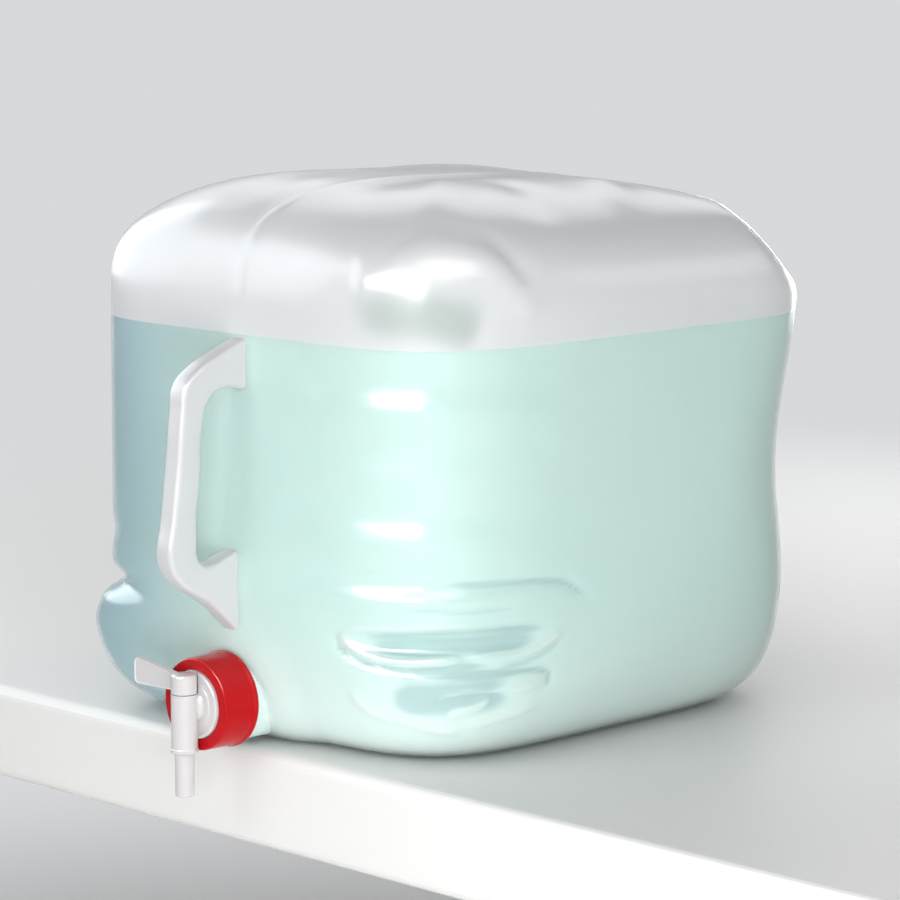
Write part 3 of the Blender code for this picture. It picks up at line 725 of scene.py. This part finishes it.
def helix(name, tube, radius, first, turns, frame, taper, sides=10, steps=48):
    """A round tube along a helix, in metres, which thins away over a share of a turn at its ends."""
    count = round(turns * steps) + 1
    points, faces = [], []
    for step in range(count):
        turn = step / steps
        thin = min(turn / taper, (turns - turn) / taper, 1.0) if taper else 1.0
        size = tube * max(0.15, math.sin(thin * math.pi / 2))
        angle = 2 * math.pi * turn
        out = Vector((math.cos(angle), math.sin(angle), 0))
        centre = out * radius + Vector((0, 0, first + THREAD_PITCH * turn))
        for side in range(sides):
            around = 2 * math.pi * side / sides
            place = centre + out * size * math.cos(around) + Vector((0, 0, size * math.sin(around)))
            points.append(frame @ place)
    for step in range(count - 1):
        for side in range(sides):
            after = (side + 1) % sides
            near, far = step * sides, (step + 1) * sides
            faces.append((near + side, near + after, far + after, far + side))
    faces.append(list(range(sides)))
    faces.append(list(range((count - 1) * sides, count * sides)))
    return new_piece(name, tidy_mesh(name, points, faces), None)


def carve(obj, *others):
    """Joins or cuts the object with each (operation, other), and removes the others."""
    for operation, other in others:
        step = obj.modifiers.new("Step", "BOOLEAN")
        step.operation = operation
        step.solver = "EXACT"
        step.object = other
    finish = obj.data.materials[0] if obj.data.materials else None
    applied(obj)
    for _, other in others:
        bpy.data.objects.remove(other)
    edit = bmesh.new()
    edit.from_mesh(obj.data)
    bmesh.ops.remove_doubles(edit, verts=edit.verts, dist=1e-6)
    edit.to_mesh(obj.data)
    edit.free()
    obj.data.materials.clear()
    if finish:
        obj.data.materials.append(finish)
    return obj


def softened(obj, angle=30):
    """Smooth shading that keeps edges sharper than the angle."""
    obj.data.shade_smooth()
    obj.data.set_sharp_from_angle(angle=math.radians(angle))
    return obj


def stands_for(obj, body, slot, *nodes):
    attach(obj, body)
    if nodes:
        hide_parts(*nodes)


# Places along the neck's axis, in mm outwards from the front wall's plane, as in the part's source
GASKET_BACK = 21.3
FLANGE_BACK = 23.6
FLANGE_FRONT = 25.4
LIP_BACK = 25.7
CAP_FRONT = 27.7
BOSS_FRONT = 29.2
BARREL_AXIS = 34.7
UPRIGHT = Matrix.Translation((0, FRONT - BARREL_AXIS * MM, 0))


def make_neck():
    """The tank's neck with its collar and thread, moulded in one with the front wall."""
    profile = (
        (16.0, 21.0, 0.5),
        (18.5, 21.0, 0.7),
        (18.5, 6.2, 0.8),
        (21.5, 5.0, 0.7),
        (21.5, -26.0, 0),
        (16.0, -26.0, 0),
    )
    neck = lathe("tank_neck", profile, NECK_FRAME, FILM_SOLID)
    ridge = helix(
        "ridge", THREAD_TUBE, NECK_RADIUS + THREAD_OFFSET, THREAD_START, THREAD_TURNS, NECK_FRAME, 0.12
    )
    carve(neck, ("UNION", ridge))
    softened(neck)
    stands_for(neck, "front_shell", "milky_film")


def make_gasket():
    profile = (
        (18.3, GASKET_BACK, 0.3),
        (18.3, GASKET_BACK + 2, 0.3),
        (14.5, GASKET_BACK + 2, 0.3),
        (14.5, GASKET_BACK, 0.3),
    )
    gasket = softened(lathe("gasket_washer", profile, NECK_FRAME, RUBBER))
    stands_for(gasket, "gasket", "gasket_rubber", "neck_gasket")


def make_cap():
    """The red ring: a smooth skirt that flares to a rolled rim at the back, and a lip in front."""
    profile = (
        (17.4, CAP_FRONT, 0.4),
        (23.0, CAP_FRONT, 1.4),
        (23.15, 18.0, 0),
        (23.4, 9.6, 0.8),
        (24.0, 8.9, 0.5),
        (24.0, 7.0, 0.7),
        (20.1, 7.0, 0.3),
        (19.1, 8.0, 0.3),
        (19.1, LIP_BACK, 0.2),
        (17.4, LIP_BACK, 0.2),
    )
    cap = lathe("cap_red_ring", profile, NECK_FRAME, CAP_RED, 120)
    groove = helix(
        "groove",
        THREAD_TUBE + 0.45 * MM,
        NECK_RADIUS + THREAD_OFFSET,
        THREAD_START - 2 * THREAD_PITCH,
        THREAD_TURNS + 2,
        NECK_FRAME,
        0,
    )
    carve(cap, ("DIFFERENCE", groove))
    softened(cap)
    stands_for(cap, "cap", "red_cap", "cap_ring")


def make_spigot():
    """Flange, boss and inlet tube about the neck's axis, and the upright barrel on a short spur."""
    profile = (
        (0, BOSS_FRONT, 0),
        (17.0, BOSS_FRONT, 1.0),
        (17.0, FLANGE_FRONT, 0.2),
        (18.7, FLANGE_FRONT, 0.2),
        (18.7, FLANGE_BACK, 0.2),
        (7.0, FLANGE_BACK, 0.3),
        (6.6, FLANGE_BACK - 10, 0.5),
        (0, FLANGE_BACK - 10, 0),
    )
    body = lathe("spigot_housing", profile, NECK_FRAME, SPIGOT_WHITE)
    dish = lathe(
        "dish",
        ((11.6, BOSS_FRONT - 0.5, 0.2), (15.2, BOSS_FRONT - 0.5, 0.2), (15.6, 31, 0), (11.2, 31, 0)),
        NECK_FRAME,
    )
    spur = lathe(
        "spur",
        (
            (0, BOSS_FRONT - 1, 0),
            (9.5, BOSS_FRONT - 1, 0),
            (6.1, BOSS_FRONT + 1.2, 2.0),
            (5.9, 34, 0),
            (0, 34, 0),
        ),
        NECK_FRAME,
    )
    barrel_profile = (
        (0, 34, 0),
        (6.5, 34, 0),
        (6.5, 4.0, 0.3),
        (6.85, 3.6, 0.2),
        (6.85, 1.7, 0.5),
        (0, 1.7, 0),
    )
    barrel = lathe("barrel", barrel_profile, UPRIGHT)
    inlet = bar("inlet", 4.0, FLANGE_BACK - 13, BARREL_AXIS, NECK_FRAME, 62)
    head_room = bar("head_room", 7.0, 31.0, 45.0, UPRIGHT)
    bore = bar("bore", 5.15, -2, 34, UPRIGHT)
    carve(body, ("DIFFERENCE", dish), ("UNION", spur))
    carve(body, ("UNION", barrel))
    carve(body, ("DIFFERENCE", inlet), ("DIFFERENCE", head_room), ("DIFFERENCE", bore))
    softened(body)
    stands_for(body, "spigot", "spigot_white", "spigot_body")


def make_wing():
    """The lever's flat fan, with a raised rim round a sunk web on both faces."""
    outline = rounded(
        (
            (0.0, 32.2, 0),
            (35.7, 31.3, 3.2),
            (35.7, 45.1, 3.6),
            (0.0, 39.8, 0),
        ),
        8,
    )
    edit = bmesh.new()
    half = 1.5 * MM
    near = [edit.verts.new((x, y, -half)) for x, y in outline]
    far = [edit.verts.new((x, y, half)) for x, y in outline]
    edit.faces.new(near[::-1])
    edit.faces.new(far)
    for index in range(len(near)):
        after = (index + 1) % len(near)
        edit.faces.new((near[index], near[after], far[after], far[index]))
    faces = [face for face in edit.faces if len(face.verts) > 4]
    bmesh.ops.inset_individual(edit, faces=faces, thickness=1.9 * MM, depth=0)
    bmesh.ops.inset_individual(edit, faces=faces, thickness=0.35 * MM, depth=-0.55 * MM)
    bmesh.ops.recalc_face_normals(edit, faces=edit.faces)
    mesh = bpy.data.meshes.new("wing")
    edit.to_mesh(mesh)
    edit.free()
    out_up = Matrix(((-1, 0, 0, 0), (0, 0, 1, 0), (0, 1, 0, 0), (0, 0, 0, 1)))
    mesh.transform(UPRIGHT @ out_up)
    mesh.flip_normals()
    wing = new_piece("wing", mesh, None)
    edge = wing.modifiers.new("Edge", "BEVEL")
    edge.width = 0.55 * MM
    edge.segments = 3
    edge.angle_limit = math.radians(40)
    return applied(wing)


def make_plug():
    """The plug that turns in the barrel: lever above, hollow spout below, a port in its side."""
    profile = (
        (0, 41.0, 0),
        (6.4, 41.0, 1.6),
        (6.4, 31.3, 0.3),
        (4.85, 31.3, 0),
        (4.85, 1.4, 0),
        (5.65, 1.4, 0.2),
        (4.85, 0.2, 0),
        (4.8, -20.0, 0.6),
        (3.2, -20.0, 0.4),
        (3.2, 27.6, 0.5),
        (0, 27.6, 0),
    )
    plug = lathe("valve_lever_spout", profile, UPRIGHT, SPIGOT_WHITE, 80)
    side = Matrix.Translation((0, FRONT - BARREL_AXIS * MM, NECK_HEIGHT)) @ Matrix.Rotation(
        math.radians(90), 4, "Y"
    )
    port = bar("port", 2.8, 0, 8, side, 40)
    carve(plug, ("UNION", make_wing()))
    carve(plug, ("DIFFERENCE", port))
    softened(plug)
    stands_for(plug, "valve", "spigot_white", "valve_plug")


# ---- handles ----

# A handle side on, as in the part's source: shares of its reach from its root plane and of its height
HANDLE_FOOT = 60.0
HANDLE_HEIGHT = 145.0
HANDLE_SINK = 11.0
HANDLE_REACH = 58.0
HANDLE_WIDTH = 12.0
HANDLE_EDGE = 2.6
HANDLE_SHARES = (
    (-0.20, 1.03),
    (0.10, 0.993),
    (0.38, 0.952),
    (0.68, 0.897),
    (0.81, 0.848),
    (0.85, 0.760),
    (0.90, 0.572),
    (0.96, 0.393),
    (1.00, 0.262),
    (0.91, 0.195),
    (0.53, 0.090),
    (0.29, 0.000),
    (0.05, -0.080),
    (0.05, 0.270),
    (0.38, 0.250),
    (0.49, 0.236),
    (0.65, 0.243),
    (0.70, 0.352),
    (0.66, 0.531),
    (0.62, 0.717),
    (0.55, 0.793),
    (0.41, 0.826),
    (0.12, 0.812),
    (-0.20, 0.800),
)


def offset_skin(name, distance, columns=44, rows=56):
    """The tank's plain outer form as a solid, moved out along its normals."""
    points, quads, _ = tank_skin(columns, rows)
    mesh = new_mesh(name, points, quads)
    points = points + point_normals(mesh) * distance
    mesh.vertices.foreach_set("co", points.ravel())
    mesh.update()
    return new_piece(name, mesh, None)


def handle_blank():
    """The handle's rounded strap, in its own frame: x outwards, y up, z across."""
    curve = bpy.data.curves.new("handle_blank", "CURVE")
    curve.dimensions = "2D"
    curve.fill_mode = "BOTH"
    curve.extrude = (HANDLE_WIDTH / 2 - HANDLE_EDGE) * MM
    curve.bevel_depth = HANDLE_EDGE * MM
    curve.bevel_resolution = 4
    curve.offset = -HANDLE_EDGE * MM
    curve.resolution_u = 7
    outline = curve.splines.new("BEZIER")
    outline.bezier_points.add(len(HANDLE_SHARES) - 1)
    outline.use_cyclic_u = True
    for knot, (out, up) in zip(outline.bezier_points, HANDLE_SHARES):
        knot.co = (out * HANDLE_REACH * MM, up * HANDLE_HEIGHT * MM, 0)
        knot.handle_left_type = "AUTO"
        knot.handle_right_type = "AUTO"
    blank = bpy.data.objects.new("handle_blank", curve)
    bpy.context.scene.collection.objects.link(blank)
    bpy.context.view_layer.update()
    graph = bpy.context.evaluated_depsgraph_get()
    mesh = bpy.data.meshes.new_from_object(blank.evaluated_get(graph))
    bpy.data.objects.remove(blank)
    edit = bmesh.new()
    edit.from_mesh(mesh)
    bmesh.ops.remove_doubles(edit, verts=edit.verts, dist=1e-5)
    bmesh.ops.recalc_face_normals(edit, faces=edit.faces)
    edit.to_mesh(mesh)
    edit.free()
    return mesh


def make_handles():
    blank = handle_blank()
    out_up = Matrix(((0, 0, -1, 0), (-1, 0, 0, 0), (0, 1, 0, 0), (0, 0, 0, 1)))
    front = Matrix.Translation((0, FRONT + HANDLE_SINK * MM, HANDLE_FOOT * MM)) @ out_up
    rear = Matrix.Rotation(math.pi, 4, "Z") @ front
    for name, frame, body, node in (
        ("front_handle_grip", front, "front_shell", "front_handle"),
        ("rear_handle_grip", rear, "rear_shell", "rear_handle"),
    ):
        mesh = blank.copy()
        mesh.transform(frame)
        grip = new_piece(name, mesh, HANDLE_WHITE)
        carve(grip, ("DIFFERENCE", offset_skin("wall_face", 0.3 * MM)))
        softened(grip, 40)
        stands_for(grip, body, "white_moulding", node)


make_neck()
make_gasket()
make_cap()
make_spigot()
make_plug()
make_handles()


# ---- stage, light and camera ----

BACKDROP = (0.68, 0.69, 0.70)
TABLE_EDGE = -150.0 * MM


def stage_finish():
    """A pale matt table, which fades to the backdrop's colour away from the object."""
    made = bpy.data.materials.new("stage_look")
    made.use_nodes = True
    nodes, links = made.node_tree.nodes, made.node_tree.links
    shader = nodes["Principled BSDF"]
    shader.inputs["Base Color"].default_value = (0.74, 0.74, 0.73, 1)
    shader.inputs["Roughness"].default_value = 0.6
    coords = wire(made, "ShaderNodeTexCoord")
    length = wire(made, "ShaderNodeVectorMath", operation="LENGTH")
    links.new(coords.outputs["Object"], length.inputs[0])
    far = ramp_of(made, length.outputs["Value"], 0.30, 1.1, 0.0, 1.0)
    glow = wire(made, "ShaderNodeEmission", Strength=1.0)
    glow.inputs["Color"].default_value = (*BACKDROP, 1)
    path = wire(made, "ShaderNodeLightPath")
    both = wire(made, "ShaderNodeMath", operation="MAXIMUM")
    links.new(path.outputs["Is Camera Ray"], both.inputs[0])
    links.new(path.outputs["Is Glossy Ray"], both.inputs[1])
    more = wire(made, "ShaderNodeMath", operation="MAXIMUM")
    links.new(both.outputs[0], more.inputs[0])
    links.new(path.outputs["Is Transmission Ray"], more.inputs[1])
    factor = wire(made, "ShaderNodeMath", operation="MULTIPLY")
    links.new(far, factor.inputs[0])
    links.new(more.outputs[0], factor.inputs[1])
    mixed = wire(made, "ShaderNodeMixShader")
    links.new(factor.outputs[0], mixed.inputs[0])
    links.new(shader.outputs["BSDF"], mixed.inputs[1])
    links.new(glow.outputs["Emission"], mixed.inputs[2])
    links.new(mixed.outputs["Shader"], nodes["Material Output"].inputs["Surface"])
    return made


def stage_block(name, low, high, bevel):
    mesh = bpy.data.meshes.new(name)
    edit = bmesh.new()
    size = [b - a for a, b in zip(low, high)]
    centre = [(a + b) / 2 for a, b in zip(low, high)]
    bmesh.ops.create_cube(
        edit, size=1, matrix=Matrix.Translation(centre) @ Matrix.Diagonal((*size, 1))
    )
    edit.to_mesh(mesh)
    edit.free()
    block = new_piece(name, mesh, STAGE)
    block.data.shade_flat()
    if bevel:
        edge = block.modifiers.new("Edge", "BEVEL")
        edge.width = bevel
        edge.segments = 5


STAGE = stage_finish()
stage_block("table_top", (-8, TABLE_EDGE, -0.05), (8, 16, 0), 0.006)
stage_block("floor_below", (-8, -8, -0.30), (8, 16, -0.28), 0)


def area_light(name, place, target, size, power, colour=(1, 1, 1), shine=True, spread=True):
    """A lamp the camera doesn't see. Shine lets it show in gloss, spread lets it light dull surfaces."""
    data = bpy.data.lights.new(name, "AREA")
    data.shape = "RECTANGLE"
    data.size, data.size_y = size
    data.energy = power
    data.color = colour
    lamp = bpy.data.objects.new(name, data)
    bpy.context.scene.collection.objects.link(lamp)
    lamp.location = place
    aim = Vector(target) - Vector(place)
    lamp.rotation_euler = aim.to_track_quat("-Z", "Y").to_euler()
    lamp.visible_camera = False
    lamp.visible_glossy = shine
    lamp.visible_diffuse = spread
    return lamp


def toward(azimuth, elevation, distance):
    """A place round the tank. Azimuth 0 is in front of the spigot, 45 is the camera's side."""
    a, e = math.radians(azimuth), math.radians(elevation)
    x, y = math.sin(a) * math.cos(e), -math.cos(a) * math.cos(e)
    return (x * distance, y * distance, math.sin(e) * distance + 0.13)


MIDDLE = (0, 0, 0.13)
COOL = (0.88, 0.94, 1.0)
WARM = (1.0, 0.97, 0.92)
area_light("key", toward(50, 24, 1.7), MIDDLE, (0.9, 0.7), 4.1, shine=False)
area_light("front_fill", toward(345, 24, 1.7), MIDDLE, (1.0, 0.7), 4.1, shine=False)
area_light("low_fill", (0.85, -0.78, 0.07), (0, 0, 0.07), (1.0, 0.12), 3.4, shine=False)
area_light("bounce", (0.75, -0.65, -0.12), (0.11, -0.14, 0.02), (0.5, 0.2), 3.0, shine=False)
area_light("glint", toward(10, 23, 1.5), MIDDLE, (1.3, 0.46), 120.0, spread=False)
area_light("shoulder_strip", toward(288, 23, 1.3), (0, -0.10, 0.20), (1.6, 1.0), 32.0, COOL, spread=False)
area_light("far_strip", toward(145, 18, 1.6), (0.10, 0.08, 0.24), (0.7, 0.5), 2.2, WARM, spread=False)
area_light("rim_strip", toward(198, 2, 1.2), MIDDLE, (0.7, 0.25), 4.0, spread=False)
area_light("facet", toward(60, 44, 1.3), (0.10, -0.12, 0.24), (0.9, 0.6), 12.0, spread=False)
area_light("strip", toward(30, 72, 1.5), (0, -0.05, 0.24), (1.3, 0.5), 3.8, shine=False)
area_light("back", toward(225, 30, 1.9), MIDDLE, (1.4, 0.8), 6.5)
area_light("rear_fill", toward(235, 18, 2.0), MIDDLE, (1.4, 1.0), 7.0, shine=False)

WORLD_STRENGTH = 0.32
world = bpy.data.worlds.new("studio")
bpy.context.scene.world = world
world.use_nodes = True
back = world.node_tree.nodes["Background"]
back.inputs["Color"].default_value = (1, 1, 1, 1)
back.inputs["Strength"].default_value = WORLD_STRENGTH
seen = world.node_tree.nodes.new("ShaderNodeLightPath")
white = world.node_tree.nodes.new("ShaderNodeBackground")
white.inputs["Color"].default_value = (*BACKDROP, 1)
mix = world.node_tree.nodes.new("ShaderNodeMixShader")
world.node_tree.links.new(seen.outputs["Is Camera Ray"], mix.inputs[0])
world.node_tree.links.new(back.outputs[0], mix.inputs[1])
world.node_tree.links.new(white.outputs[0], mix.inputs[2])
world.node_tree.links.new(mix.outputs[0], world.node_tree.nodes["World Output"].inputs["Surface"])

CAMERA_AZIMUTH = math.radians(45.05)
CAMERA_DISTANCE = 1.869
CAMERA_HEIGHT = 0.4152
CAMERA_PITCH = math.radians(8.62)
camera_data = bpy.data.cameras.new("photo_view")
camera_data.sensor_width = 36
camera_data.lens = 145.4
camera_data.clip_start = 0.05
camera_data.clip_end = 60
camera = bpy.data.objects.new("photo_view", camera_data)
bpy.context.scene.collection.objects.link(camera)
camera.location = (
    math.sin(CAMERA_AZIMUTH) * CAMERA_DISTANCE,
    -math.cos(CAMERA_AZIMUTH) * CAMERA_DISTANCE,
    CAMERA_HEIGHT,
)
camera.rotation_euler = (math.pi / 2 - CAMERA_PITCH, 0, CAMERA_AZIMUTH)
bpy.context.scene.camera = camera
bpy.context.scene.view_settings.view_transform = "Standard"
